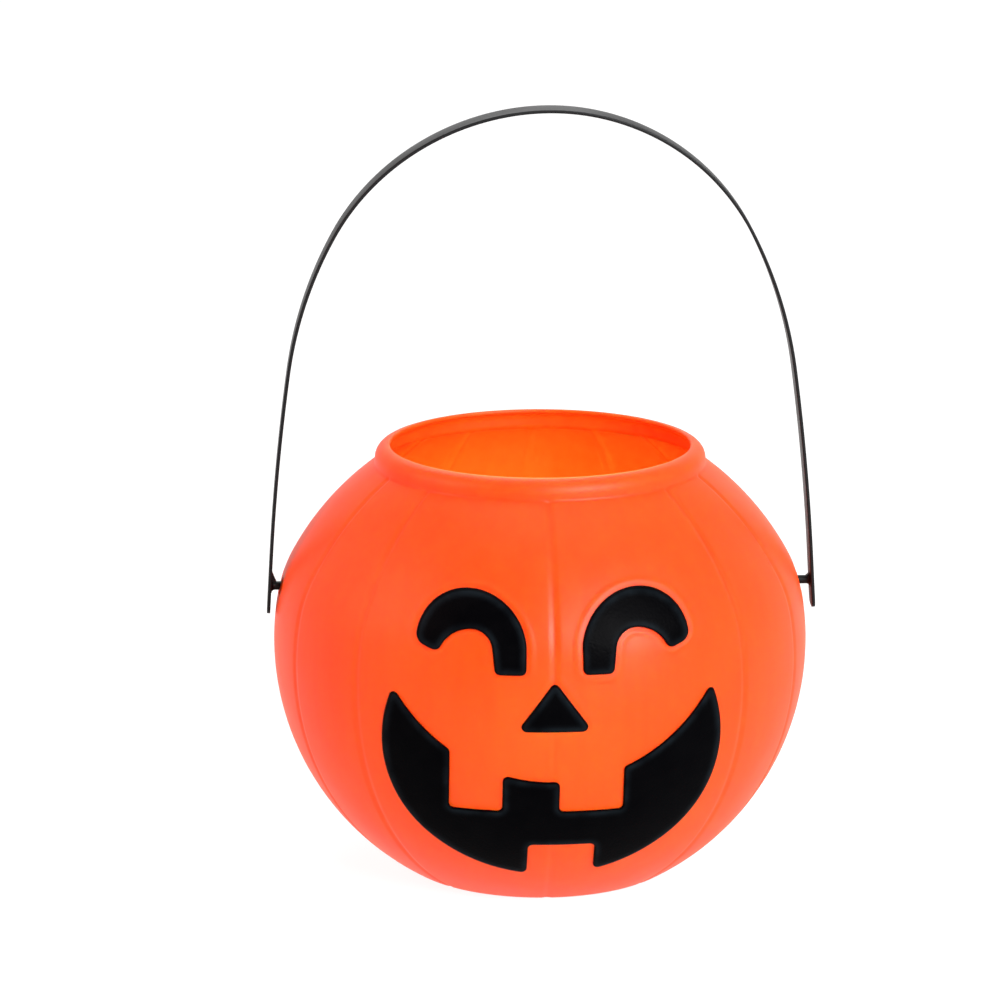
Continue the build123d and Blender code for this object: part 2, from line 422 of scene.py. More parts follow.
def noseOutline():
    f = faceShares
    half = f["noseWidth"] / 2
    left, right = onFace(-half, -f["noseDrop"]), onFace(half, -f["noseDrop"])
    top = onFace(0, f["noseHeight"] - f["noseDrop"])
    return faceOutline([(left, right), (right, top), (top, left)], [faceRounds["nose"]] * 3)


def mouthOutline(arcPoints=60):
    f, r = faceShares, faceRounds
    widest = onFace(0, -f["grinDrop"])[1]
    depth, side, lip = (f[key] * faceHalf for key in ("grinDepth", "grinSide", "lipRadius"))
    sideReach = faceHalf - side
    bottom = (sideReach ** 2 + depth ** 2 - side ** 2) / (2 * (depth - side))
    bottomMiddle = widest - depth + bottom
    joint = math.degrees(math.atan2(bottom - depth, sideReach))
    lipMiddle = onFace(0, -f["lipDrop"])[1] + lip
    # corner of the grin, where the lip's circle meets the side's
    apart = np.array([-sideReach, lipMiddle - widest])
    gap = np.linalg.norm(apart)
    along = (gap ** 2 + side ** 2 - lip ** 2) / (2 * gap)
    rise = math.sqrt(side ** 2 - along ** 2)
    unit = apart / gap
    corner = np.array([sideReach, widest]) + along * unit + rise * np.array([unit[1], -unit[0]])
    cornerTurn = math.degrees(math.atan2(corner[1] - widest, corner[0] - sideReach))

    def under(middle, radius, start, end):
        across = np.linspace(start, end, arcPoints)
        return np.column_stack([across, middle - np.sqrt(radius ** 2 - np.square(across))])

    turns = np.linspace(-joint, cornerTurn, arcPoints)
    sideArc = onCircle((sideReach, widest), side, turns)
    farArc = (sideArc * (-1, 1))[::-1]
    toothLeft, toothRight = (share * faceHalf for share in f["lowerTooth"])
    leftJaw = np.vstack([farArc, under(bottomMiddle, bottom, farArc[-1][0], toothLeft)[1:]])
    rightJaw = np.vstack([under(bottomMiddle, bottom, toothRight, sideArc[0][0])[:-1], sideArc])
    toothTop = onFace(0, -f["lowerDrop"])[1]
    tips = [(toothLeft, toothTop), (toothRight, toothTop)]
    lines = [leftJaw, (leftJaw[-1], tips[0]), tips, (tips[1], rightJaw[0]), rightJaw]
    toothRounds = [r["toothRoot"], r["toothTip"], r["toothTip"], r["toothRoot"]]
    rounds = toothRounds + [r["grinCorner"]]
    drop = onFace(0, -f["upperDrop"])[1]
    teeth = [(right * faceHalf, left * faceHalf) for left, right in f["upperTeeth"]]
    stops = [right for right, _ in teeth[1:]] + [-corner[0]]  # where the lip after each tooth ends
    upper = under(lipMiddle, lip, corner[0], teeth[0][0])
    for (right, left), stop in zip(teeth, stops):
        tips = [(right, drop), (left, drop)]
        after = under(lipMiddle, lip, left, stop)
        lines += [upper, (upper[-1], tips[0]), tips, (tips[1], after[0])]
        rounds += toothRounds
        upper = after
    return faceOutline(lines + [upper], rounds + [r["grinCorner"]])


rightEye = eyeOutline()
outlines = {
    "left_eye": (rightEye * (-1, 1))[::-1],
    "right_eye": rightEye,
    "nose": noseOutline(),
    "mouth": mouthOutline(),
}
print("face outlines:", {name: len(points) for name, points in outlines.items()})


# distance into an outline, negative outside it
def depthInside(points, outline):
    best = np.full(len(points), np.inf)
    inside = np.zeros(len(points), bool)
    for (ax, az), (bx, bz) in zip(outline, np.roll(outline, -1, axis=0)):
        edge = np.array([bx - ax, bz - az])
        offset = points - (ax, az)
        share = np.clip(offset @ edge / (edge @ edge), 0, 1)
        best = np.minimum(best, np.linalg.norm(offset - np.outer(share, edge), axis=1))
        crosses = (az > points[:, 1]) != (bz > points[:, 1])
        if bz != az:
            crossing = ax + (points[:, 1] - az) / (bz - az) * (bx - ax)
            inside ^= crosses & (points[:, 0] < crossing)
    return np.where(inside, best, -best)


# Shell: one lathe with its grooves, raised face, pads and peg holes

columnSteps = {  # degrees between columns, and how far each zone reaches
    "plain": 2.6,
    "face": (0.55, 41.0),
    "groove": (0.48, 2.4),
    "peg": (0.55, 4.5),
}
pegTurns = {1: 90.0, -1: 270.0}
turnSamples = 36001  # to find the columns by, one each hundredth of a degree


def columnTurns():
    turns = np.linspace(0, 360, turnSamples)
    step = np.full(len(turns), columnSteps["plain"])
    zones = {"face": [0.0], "groove": grooveTurns, "peg": list(pegTurns.values())}
    for zone, places in zones.items():
        closeStep, reach = columnSteps[zone]
        near = nearestTurn(turns, places) < reach
        step = np.where(near, np.minimum(step, closeStep), step)
    travel = np.concatenate([[0], np.cumsum(np.diff(turns) / step[:-1])])
    count = 4 * round(travel[-1] / 4)  # an even number on each wall
    return np.interp(np.arange(count) * travel[-1] / count, travel, turns)


# how far each point of the lathe moves out along its normal
def shellShift(rows, turns):
    reach, height, strength = (rows[:, column][:, None] for column in (0, 1, 4))
    turn = np.radians(turns)
    across, along = reach * np.sin(turn), reach * np.cos(turn)
    height = np.broadcast_to(height, across.shape)
    shift = -strength * grooveDepth(np.broadcast_to(turns, across.shape), np.maximum(reach, 1))
    # raised face, and the low bead round the eyes and nose
    front = (np.cos(turn) > w["faceCosine"])[None, :] & (strength > 0)
    places = np.column_stack([across[front], height[front]])
    depths = {name: depthInside(places, outline[::2]) for name, outline in outlines.items()}
    flankStart, flankWidth = w["faceFlank"]
    raised = smooth((np.max(list(depths.values()), axis=0) - flankStart) / flankWidth)
    ringed = np.max([depths[name] for name in ("left_eye", "right_eye", "nose")], axis=0)
    fromBead = (ringed + w["faceBeadReach"]) / w["faceBeadSpread"]
    bead = w["faceBeadRise"] * np.exp(-0.5 * fromBead ** 2)
    shift[front] = shift[front] * (1 - raised) + raised * w["faceRise"] + (1 - raised) * bead
    # flat of each peg: how deep its plane lies under the round wall, and the low ring on it
    up = (height - pivotHeight) / math.cos(pivotLean)
    away = np.hypot(along, up)
    dish = w["padDepth"] - along ** 2 / (2 * pivotRadius) - up ** 2 / (2 * w["shoulderRadius"])
    edge, boss = (smooth((w[name + "Radius"] + w[name + "Edge"][0] - away) / w[name + "Edge"][1])
                  for name in ("pad", "boss"))
    nearPeg = (np.abs(across) > pivotRadius / 2) & (strength > 0)
    return shift - np.where(nearPeg, np.maximum(dish, 0) * edge - w["bossRise"] * boss, 0)


def lathePoints(rows, turns, shift):
    reach = rows[:, 0][:, None] + shift * rows[:, 2][:, None]
    height = rows[:, 1][:, None] + shift * rows[:, 3][:, None]
    turn = np.radians(turns)
    return np.stack([reach * np.sin(turn), -reach * np.cos(turn), height], axis=-1)


# outer wall with the lip, going up, and inner wall, going down
def shellGrids(outerTurns, innerTurns):
    walls = []
    for inset, turns in ((0.0, outerTurns), (w["wall"], innerTurns)):
        side = wallRows(inset)
        rows = np.vstack([baseRows(inset, side[0][0]), side])
        walls.append(lathePoints(rows, turns, shellShift(rows, turns)))
    lipTurns = np.radians(np.linspace(90, 270, 9)[1:-1])
    lipRows = np.column_stack([mouthRadius + w["lipRound"] * np.cos(lipTurns),
                               rimHeight + w["lipWall"] / 2 * (np.sin(lipTurns) - 1),
                               np.zeros((len(lipTurns), 3))])
    lip = lathePoints(lipRows, outerTurns, np.zeros((len(lipRows), len(outerTurns))))
    return np.concatenate([walls[0], lip]), walls[1][::-1]


# quads of a grid that a peg's hole takes the place of, and the loop of points round them
def pegBlock(grid, turns, sign):
    column = int(np.argmin(np.abs(turns - pegTurns[sign])))
    onWall = np.abs(grid[:, column, 0]) > pivotRadius / 2
    away = np.abs(grid[:, column, 2] - pivotHeight)
    row = int(np.argmin(np.where(onWall, away, np.inf)))
    tall, wide = w["holeBlock"]
    r0, r1, c0, c1 = row - tall, row + tall, column - wide, column + wide
    block = {(r, c) for r in range(r0, r1) for c in range(c0, c1)}
    loop = [(r0, c) for c in range(c0, c1)] + [(r, c1) for r in range(r0, r1)]
    loop += [(r1, c) for c in range(c1, c0, -1)] + [(r, c0) for r in range(r1, r0, -1)]
    return block, loop


# edge of a peg's hole, with a point for each point of the loop round it
def pegHole(loopPoints, sign, depth):
    sunk = w["padDepth"] - w["bossRise"] + depth
    hole = []
    for _, y, z in loopPoints:
        away = math.hypot(y, z - pivotHeight)
        y, z = (value * w["pegHoleRadius"] / away for value in (y, z - pivotHeight))
        x = pivotRadius - sunk / math.cos(pivotLean) - z * math.tan(pivotLean)
        hole.append(np.array([sign * x, y, z + pivotHeight]))
    return hole


# the inner ring of a hole runs the other way: turned round, and started at the outer one's corner
def matchRing(verts, near, far):
    far = [far[0]] + far[:0:-1]

    def gap(start):
        turned = far[start:] + far[:start]
        return sum(np.hypot(*(verts[b] - verts[a])[1:]) for a, b in zip(near, turned))

    start = min(range(len(far)), key=gap)
    return far[start:] + far[:start]


def makePailShell():
    outerTurns = columnTurns()
    innerTurns = outerTurns[::2]  # the inside needs half the columns
    outerCount, innerCount = len(outerTurns), len(innerTurns)
    grids = shellGrids(outerTurns, innerTurns)
    verts = list(np.vstack([grid.reshape(-1, 3) for grid in grids]))
    innerStart = len(grids[0]) * outerCount
    faces = []
    holes = {sign: [] for sign in pegTurns}
    for grid, turns, first, depth in ((grids[0], outerTurns, 0, 0.0),
                                      (grids[1], innerTurns, innerStart, w["wall"])):
        gone = set()
        for sign in holes:
            block, loop = pegBlock(grid, turns, sign)
            gone |= block
            loop = [first + row * len(turns) + column for row, column in loop]
            ring = list(range(len(verts), len(verts) + len(loop)))
            verts += pegHole([verts[index] for index in loop], sign, depth)
            faces += bandFaces(loop, ring)
            holes[sign].append(ring)
        faces += gridFaces(len(grid), len(turns), first, gone)
    for near, far in holes.values():
        faces += bandFaces(near, matchRing(verts, near, far))

    # lip to inner wall, two columns to one
    lastLip = innerStart - outerCount
    for j in range(innerCount):
        a, b, c = (lastLip + (2 * j + k) % outerCount for k in range(3))
        low, after = innerStart + j, innerStart + (j + 1) % innerCount
        faces += [(a, b, low), (b, after, low), (b, c, after)]
    # middle of the base, outside and inside
    lastInner = innerStart + (len(grids[1]) - 1) * innerCount
    for first, columns, up in ((0, outerCount, False), (lastInner, innerCount, True)):
        pole = len(verts)
        verts.append(np.array([0.0, 0.0, verts[first][2]]))
        for column in range(columns):
            pair = (first + column, first + (column + 1) % columns)
            faces.append((pole, *pair) if up else (pole, *pair[::-1]))
    return newPiece("pail_shell_moulding", verts, faces)


# Coats on the face

coatSizes = {  # mm; a step of the section is how far outside the outline and how far off the wall
    "edge": [(0.18, -0.25), (0.2, 0.1), (0.17, 0.42), (0.06, 0.72),
             (-0.16, 0.94), (-0.48, 1.06), (-0.9, 1.1)],
    "back": [(-0.25, -0.3), (-0.9, 0.5)],  # under side, inside the raised wall
    "fillStep": 0.9,
    "fillRow": 0.866,  # of the step, for even triangles
    "fillMargin": 0.5,  # of the step, kept free along the rim
    "highlightFrom": 0.4,  # in from the outline, where the painted highlight on the rounded shoulder is strongest
    "highlightFade": 1.8,
}


def growOutline(points, distance):
    along = unitRows(np.roll(points, -1, axis=0) - np.roll(points, 1, axis=0))
    return points + distance * np.column_stack([along[:, 1], -along[:, 0]])


def frontPoints(flat, rise):
    reach = wallRadius(flat[:, 1], rise)
    return np.column_stack([flat[:, 0], -np.sqrt(reach ** 2 - flat[:, 0] ** 2), flat[:, 1]])


def coatRing(outline, grow, rise):
    flat = growOutline(outline, grow)
    points = frontPoints(flat, rise)
    if rise < 0:  # the foot follows the groove that it crosses
        turns = np.degrees(np.arctan2(points[:, 0], -points[:, 1]))
        sunk = grooveDepth(turns, np.hypot(points[:, 0], points[:, 1]))
        points = frontPoints(flat, rise - sunk)
    return points


def makeCoat(name, outline):
    edge, back = coatSizes["edge"], coatSizes["back"]
    rings = [coatRing(outline, *step) for step in back[::-1] + edge]
    count = len(outline)
    verts = list(np.vstack(rings))
    faces = gridFaces(len(rings), count)
    # even points inside the last ring of the front and of the back, joined up
    front = (len(rings) - 1) * count
    for (grow, rise), start, over in ((edge[-1], front, False), (back[-1], 0, True)):
        rim = growOutline(outline, grow)
        step = coatSizes["fillStep"]
        low, high = rim.min(axis=0), rim.max(axis=0)
        levels = np.arange(low[1], high[1], step * coatSizes["fillRow"])
        spots = np.array([(x + (k % 2) * step / 2, z) for k, z in enumerate(levels)
                          for x in np.arange(low[0], high[0], step)])
        spots = spots[depthInside(spots, rim) > coatSizes["fillMargin"] * step]
        flat = [Vector(point) for point in np.vstack([rim, spots])]
        made, _, triangles, *_ = delaunay_2d_cdt(flat, [], [list(range(count))], 1, 1e-6)
        inner = np.array([tuple(point) for point in made[count:]]).reshape(-1, 2)
        extra = len(verts) - count
        verts += list(frontPoints(inner, rise))
        fill = [tuple(k + (start if k < count else extra) for k in corners)
                for corners in triangles]
        faces += turnOver(fill) if over else fill
    coat = newPiece(name + "_coat", verts, faces)
    # painted highlight: a mask that lightens the coat's rounded shoulder just in from the outline,
    # standing in for the light it catches
    spots = np.array([(vertex.co.x / mm, vertex.co.z / mm) for vertex in coat.data.vertices])
    depth = depthInside(spots, outline)
    peak = coatSizes["highlightFrom"]
    shoulderHighlight = smooth(depth / peak) * (1 - smooth((depth - peak) / coatSizes["highlightFade"]))
    coat.data.attributes.new("painted_shoulder_highlight", "FLOAT", "POINT").data.foreach_set("value", shoulderHighlight)
    return coat


# Strap handle with its pegs, drawn about the peg line

strapSizes = {
    "gap": 2.1,
    "thickness": 1.0,
    "width": 9.5,
    "edgeRound": 0.26,
    "archHeight": 143.6,
    "crownShare": 0.864,  # radii, of half the span
    "crownTurn": 62.0,
    "haunchShare": 1.543,
    "haunchTurn": 20.0,
    "endAbove": 7.0,
    "endBelow": 8.0,
    "tailRound": 2.6,
    "crownSway": 2.4,  # the strap has taken a slight set to the right
    "legSway": 0.75,
    "legSwayFrom": 15.0,
    "legSwayOver": 45.0,
    "pegRadius": 1.3,
    "pegFlare": 1.0,
    "pegSides": 36,
    "webHeight": (2.3, 4.5),  # right and left
    "webDepth": (1.1, 1.5),
    "webThickness": 1.6,
    "webLean": 0.6,
    "headRadius": 2.3,
    "headBand": 0.7,
    "headLength": 2.6,
    "headTipShare": 0.55,
    "headChamfer": 0.2,
    "headGap": 0.3,
    "sharpAngle": 40.0,
}


# points along the strap's middle, the foot of its right leg, and the way the tail runs from there
def strapLine():
    s = strapSizes
    span = pivotRadius + s["gap"] + s["thickness"] / 2
    crown = s["crownShare"] * span
    haunch = s["haunchShare"] * span
    crownEnd = 90 - s["crownTurn"]
    haunchEnd = crownEnd - s["haunchTurn"]
    crownMiddle = (0, s["archHeight"] - crown)
    crownPoints = onCircle(crownMiddle, crown, np.linspace(90, crownEnd, 37))
    haunchMiddle = crownPoints[-1] - onCircle((0, 0), haunch, [crownEnd])[0]
    haunchPoints = onCircle(haunchMiddle, haunch, np.linspace(crownEnd, haunchEnd, 19))
    lean = math.radians(haunchEnd)
    legPoints = arcFrom(haunchPoints[-1], (math.sin(lean), -math.cos(lean)),
                        (span, s["endAbove"]), 37)
    along = legPoints[-1] - legPoints[-2]
    along /= np.linalg.norm(along)
    length = s["endAbove"] + s["endBelow"]
    # points come close together at the tail's rounded end
    rounded = s["tailRound"] * (1 - np.cos(np.radians(np.linspace(90, 0, 9))))
    straight = np.linspace(0, length - s["tailRound"], 8)
    stops = np.concatenate([straight[1:], length - rounded[1:]])
    tailPoints = legPoints[-1] + np.outer(stops, along)
    half = np.vstack([crownPoints, haunchPoints[1:], legPoints[1:], tailPoints])
    line = np.vstack([(half * (-1, 1))[:0:-1], half])
    rise = np.clip(line[:, 1] / s["archHeight"], 0, 1)
    toCrown = np.clip(1 - (line[:, 0] / span) ** 2, 0, 1) * rise ** 3
    toLeg = smooth((line[:, 0] - s["legSwayFrom"]) / s["legSwayOver"])
    line[:, 0] += s["crownSway"] * toCrown + s["legSway"] * toLeg
    return line, legPoints[-1], along


strapPath, strapFoot, tailRun = strapLine()


# section across the strap's thickness and along Y, with rounded edges
def strapSection(halfWidth):
    edge, thick = strapSizes["edgeRound"], strapSizes["thickness"] / 2
    corners = []
    for quarter, (u, v) in enumerate(((1, 1), (-1, 1), (-1, -1), (1, -1))):
        middle = (u * (thick - edge), v * (halfWidth - edge))
        turns = np.linspace(quarter * 90, quarter * 90 + 90, 5)
        corners.append(onCircle(middle, edge, turns))
    return np.vstack(corners)


def makeStrap():
    tailRound = strapSizes["tailRound"]
    along = unitRows(np.gradient(strapPath, axis=0))
    travel = lengthAlong(strapPath)
    toEnd = np.minimum(travel, travel[-1] - travel)
    tail = np.clip(tailRound - toEnd, 0, tailRound)
    halfWidths = strapSizes["width"] / 2 - tailRound + np.sqrt(tailRound ** 2 - tail ** 2)
    sections = [strapSection(halfWidth) for halfWidth in halfWidths]
    verts = [(x - u * dz, v, z + u * dx)
             for (x, z), (dx, dz), section in zip(strapPath, along, sections)
             for u, v in section]
    count = len(sections[0])
    last = len(verts) - count
    faces = [(quad[0], *quad[:0:-1]) for quad in gridFaces(len(sections), count)]
    faces += [tuple(range(count)), tuple(range(last, last + count))[::-1]]
    return newPiece("strap_handle", verts, faces)


def strapMiddle(height, sign):
    sway = strapSizes["legSway"] if sign > 0 else 0
    return strapFoot[0] + (height - strapFoot[1]) * tailRun[0] / tailRun[1] + sway


# turned about the peg line: flare into the strap, shank, and the snap head behind the wall
def makePeg(sign):
    s = strapSizes
    middle = strapMiddle(0, sign)
    flareStart = middle - s["thickness"] / 2 - s["pegFlare"]
    flareRadius = s["pegRadius"] + s["pegFlare"]
    wallBack = pivotRadius - (w["padDepth"] + w["wall"]) / math.cos(pivotLean)
    headBack = wallBack - s["headRadius"] * math.tan(pivotLean) - s["headGap"]
    flare = onCircle((flareStart, flareRadius), s["pegFlare"], np.linspace(0, -90, 7))
    head = [(headBack, s["pegRadius"]),
            (headBack, s["headRadius"] - s["headChamfer"]),
            (headBack - s["headChamfer"], s["headRadius"]),
            (headBack - s["headBand"], s["headRadius"]),
            (headBack - s["headLength"], s["headRadius"] * s["headTipShare"])]
    side = np.vstack([[(middle, flareRadius)], flare, head])
    steps = s["pegSides"]
    turns = np.linspace(0, 2 * math.pi, steps, endpoint=False)
    verts = [(sign * x, radius * math.cos(turn), radius * math.sin(turn))
             for x, radius in side for turn in turns]
    last = len(verts) - steps
    faces = gridFaces(len(side), steps)
    faces += [tuple(range(steps))[::-1], tuple(range(last, last + steps))]
    return newPiece("peg", verts, turnOver(faces) if sign > 0 else faces)


# thin web that runs from the strap down onto the peg
def makeWeb(sign):
    s = strapSizes
    height, depth = (s[key][0 if sign > 0 else 1] for key in ("webHeight", "webDepth"))
    middle, top = strapMiddle(0, sign), strapMiddle(height, sign)
    face, root = middle - s["thickness"] / 2, top - s["thickness"] / 2
    downwards = (root - middle - s["webLean"], -height)
    hollow = arcFrom((root, height), downwards, (face - depth, s["pegRadius"]), 7)
    side = np.vstack([hollow, [(face - depth, 0), (middle, 0), (top, height)]])
    half = s["webThickness"] / 2
    count = len(side)
    verts = [(sign * x, y, z) for y in (-half, half) for x, z in side]
    faces = gridFaces(2, count)
    faces += [tuple(range(count))[::-1], tuple(range(count, 2 * count))]
    return newPiece("web", verts, turnOver(faces) if sign < 0 else faces)


def fuse(piece, others):
    for other in others:
        union = piece.modifiers.new(other.name, "BOOLEAN")
        union.operation = "UNION"
        union.solver = "EXACT"
        union.object = other
    graph = bpy.context.evaluated_depsgraph_get()
    fused = bpy.data.meshes.new_from_object(piece.evaluated_get(graph))
    piece.modifiers.clear()
    piece.data = fused
    for other in others:
        bpy.data.objects.remove(other)
    fused.shade_smooth()
    fused.set_sharp_from_angle(angle=math.radians(strapSizes["sharpAngle"]))


def makeHandle():
    handle = makeStrap()
    fuse(handle, [make(sign) for sign in (1, -1) for make in (makePeg, makeWeb)])
    for vertex in handle.data.vertices:
        vertex.co.z += pivotHeight * mm
    return handle


# Materials, each with its own values; sizes and depths in mm

fromNoise = {"From Min": 0.3, "From Max": 0.7}  # most of a noise's values lie here
mixA, mixB, mixed = 6, 7, 2  # the Mix node's two colours, and their mixture

# Polyethylene, blow-moulded in a satin mould: saturated orange that light soaks into a little,
# broad soft shine, faint waves from the blown wall and a fine grain from the mould
polyethyleneLook = {
    "tones": ("#FD3805", "#FF4009"),
    "toneSpan": (0.35, 0.68),
    "cloudSize": 38.0,
    "streakSize": 5.0,  # pigment drawn out along the blown wall
    "streakSquash": 0.12,
    "waveSize": 11.0,
    "waveDepth": 0.09,
    "grainSize": 0.9,  # really about 0.3, drawn coarser so that it shows
    "grainDepth": 0.012,
    "roughness": (0.40, 0.48),
    "ior": 1.5,
    "specular": 0.17,
    "soakDepth": 11.0,
    "soakRadius": (1.0, 0.7, 0.7),
}


def blowMouldedPolyethylene():
    look = polyethyleneLook
    material, tree, place = newMaterial("polyethylene_blow_moulded_orange")
    clouds = addNode(tree, "ShaderNodeTexNoise", {
        "Vector": place, "Scale": 1 / (look["cloudSize"] * mm), "Detail": 2.0})
    stretched = addNode(tree, "ShaderNodeMapping", {
        "Vector": place, "Scale": (1.0, 1.0, look["streakSquash"])})
    streaks = addNode(tree, "ShaderNodeTexNoise", {
        "Vector": stretched.outputs["Vector"], "Scale": 1 / (look["streakSize"] * mm),
        "Detail": 3.0})
    both = addNode(tree, "ShaderNodeMath", {
        0: clouds.outputs["Fac"], 1: streaks.outputs["Fac"]}, operation="ADD")
    tint = addNode(tree, "ShaderNodeMath", {0: both.outputs[0], 1: 0.5}, operation="MULTIPLY")
    colour = addNode(tree, "ShaderNodeValToRGB", {"Fac": tint.outputs[0]})
    for i in (0, 1):
        colour.color_ramp.elements[i].position = look["toneSpan"][i]
        colour.color_ramp.elements[i].color = toLinear(look["tones"][i])
    gloss = addNode(tree, "ShaderNodeMapRange", {
        "Value": clouds.outputs["Fac"], **fromNoise,
        "To Min": look["roughness"][0], "To Max": look["roughness"][1]})
    waves = addNode(tree, "ShaderNodeTexNoise", {
        "Vector": place, "Scale": 1 / (look["waveSize"] * mm), "Detail": 1.0})
    wavy = addNode(tree, "ShaderNodeBump", {
        "Height": waves.outputs["Fac"], "Strength": 1.0, "Distance": look["waveDepth"] * mm})
    grain = addNode(tree, "ShaderNodeTexNoise", {
        "Vector": place, "Scale": 1 / (look["grainSize"] * mm), "Detail": 2.0})
    grained = addNode(tree, "ShaderNodeBump", {
        "Height": grain.outputs["Fac"], "Strength": 1.0, "Distance": look["grainDepth"] * mm,
        "Normal": wavy.outputs["Normal"]})
    shader = addNode(tree, "ShaderNodeBsdfPrincipled", {
        "Base Color": colour.outputs["Color"], "Roughness": gloss.outputs["Result"],
        "IOR": look["ior"], "Specular IOR Level": look["specular"],
        "Subsurface Weight": 1.0, "Subsurface Radius": look["soakRadius"],
        "Subsurface Scale": look["soakDepth"] * mm, "Normal": grained.outputs["Normal"]})
    addNode(tree, "ShaderNodeOutputMaterial", {"Surface": shader.outputs["BSDF"]})
    return material


# Enamel, sprayed on the raised face: near black, stippled where the spray dried,
# with a painted highlight in cool grey on the rounded shoulders, standing in for the light they
# catch
enamelLook = {
    "tones": ("#010102", "#040405"),
    "blotchSize": 7.0,
    "highlightTone": "#0F1418",
    "highlightBlotches": (0.35, 0.65),  # from the weakest painted highlight to the strongest
    "highlightShare": (0.3, 1.0),
    "stippleSize": 0.8,  # really about 0.2, drawn coarser so that it shows
    "stippleDepth": 0.07,
    "roughness": (0.30, 0.42),
    "ior": 1.5,
    "specular": 0.008,
    "sheen": 0.015,
    "sheenRoughness": 0.2,
    "sheenTint": "#B4BECB",
}


def sprayedEnamel():
    look = enamelLook
    material, tree, place = newMaterial("enamel_sprayed_black")
    blotches = addNode(tree, "ShaderNodeTexNoise", {
        "Vector": place, "Scale": 1 / (look["blotchSize"] * mm), "Detail": 3.0})
    black = addNode(tree, "ShaderNodeValToRGB", {"Fac": blotches.outputs["Fac"]})
    for i in (0, 1):
        black.color_ramp.elements[i].color = toLinear(look["tones"][i])
    # painted highlight on the rounded shoulders, mixed into the colour in patches
    shoulderHighlight = addNode(tree, "ShaderNodeAttribute", attribute_name="painted_shoulder_highlight")
    patchy = addNode(tree, "ShaderNodeMapRange", {
        "Value": blotches.outputs["Fac"],
        "From Min": look["highlightBlotches"][0], "From Max": look["highlightBlotches"][1],
        "To Min": look["highlightShare"][0], "To Max": look["highlightShare"][1]})
    highlightStrength = addNode(tree, "ShaderNodeMath", {
        0: shoulderHighlight.outputs["Fac"], 1: patchy.outputs["Result"]}, operation="MULTIPLY")
    colour = addNode(tree, "ShaderNodeMix", {
        "Factor": highlightStrength.outputs[0], mixA: black.outputs["Color"],
        mixB: toLinear(look["highlightTone"])}, data_type="RGBA")
    gloss = addNode(tree, "ShaderNodeMapRange", {
        "Value": blotches.outputs["Fac"], **fromNoise,
        "To Min": look["roughness"][0], "To Max": look["roughness"][1]})
    stipple = addNode(tree, "ShaderNodeTexNoise", {
        "Vector": place, "Scale": 1 / (look["stippleSize"] * mm), "Detail": 2.0})
    bump = addNode(tree, "ShaderNodeBump", {
        "Height": stipple.outputs["Fac"], "Strength": 1.0,
        "Distance": look["stippleDepth"] * mm})
    shader = addNode(tree, "ShaderNodeBsdfPrincipled", {
        "Base Color": colour.outputs[mixed], "Roughness": gloss.outputs["Result"],
        "IOR": look["ior"], "Specular IOR Level": look["specular"],
        "Sheen Weight": look["sheen"], "Sheen Roughness": look["sheenRoughness"],
        "Sheen Tint": toLinear(look["sheenTint"]), "Normal": bump.outputs["Normal"]})
    addNode(tree, "ShaderNodeOutputMaterial", {"Surface": shader.outputs["BSDF"]})
    return material


# Polypropylene, injection-moulded: satin black that keeps a soft grey band of light where it curves
polypropyleneLook = {
    "tones": ("#040405", "#090A0C"),
    "flowSize": 16.0,
    "grainSize": 0.6,  # the tool's faint grain, really about 0.2, drawn coarser so that it shows
    "grainDepth": 0.008,
    "roughness": (0.40, 0.50),
    "ior": 1.49,
    "specular": 0.2,
}


def mouldedPolypropylene():
    look = polypropyleneLook
    material, tree, place = newMaterial("polypropylene_moulded_black")
    flow = addNode(tree, "ShaderNodeTexNoise", {
        "Vector": place, "Scale": 1 / (look["flowSize"] * mm), "Detail": 2.0})
    colour = addNode(tree, "ShaderNodeValToRGB", {"Fac": flow.outputs["Fac"]})
    for i in (0, 1):
        colour.color_ramp.elements[i].color = toLinear(look["tones"][i])
    gloss = addNode(tree, "ShaderNodeMapRange", {
        "Value": flow.outputs["Fac"], **fromNoise,
        "To Min": look["roughness"][0], "To Max": look["roughness"][1]})
    grain = addNode(tree, "ShaderNodeTexNoise", {
        "Vector": place, "Scale": 1 / (look["grainSize"] * mm), "Detail": 2.0})
    bump = addNode(tree, "ShaderNodeBump", {
        "Height": grain.outputs["Fac"], "Strength": 1.0, "Distance": look["grainDepth"] * mm})
    shader = addNode(tree, "ShaderNodeBsdfPrincipled", {
        "Base Color": colour.outputs["Color"], "Roughness": gloss.outputs["Result"],
        "IOR": look["ior"], "Specular IOR Level": look["specular"],
        "Normal": bump.outputs["Normal"]})
    addNode(tree, "ShaderNodeOutputMaterial", {"Surface": shader.outputs["BSDF"]})
    return material


# Card, matt white: plain and pale under the pail, and lit from below like a light table,
# so that the floor stays white right up to the pail
cardLook = {
    "tones": ("#707070", "#787878"),
    "fibreSize": 3.0,
    "roughness": 0.9,
    "glow": 0.9,
    "glowTint": "#FFFFFF",
}


def mattCard():
    look = cardLook
    material, tree, place = newMaterial("card_matt_white")
    fibre = addNode(tree, "ShaderNodeTexNoise", {
        "Vector": place, "Scale": 1 / (look["fibreSize"] * mm)})
    colour = addNode(tree, "ShaderNodeValToRGB", {"Fac": fibre.outputs["Fac"]})
    for i in (0, 1):
        colour.color_ramp.elements[i].color = toLinear(look["tones"][i])
    shader = addNode(tree, "ShaderNodeBsdfPrincipled", {
        "Base Color": colour.outputs["Color"], "Roughness": look["roughness"],
        "Specular IOR Level": 0.0, "Emission Strength": look["glow"],
        "Emission Color": toLinear(look["glowTint"])})
    addNode(tree, "ShaderNodeOutputMaterial", {"Surface": shader.outputs["BSDF"]})
    return material


# Build and dress the pieces

orange = blowMouldedPolyethylene()
enamel = sprayedEnamel()
strapBlack = mouldedPolypropylene()

shell = makePailShell()
dress(shell, orange, "orange_polyethylene", "pail", "pail_shell")
print("shell:", len(shell.data.polygons), "faces")

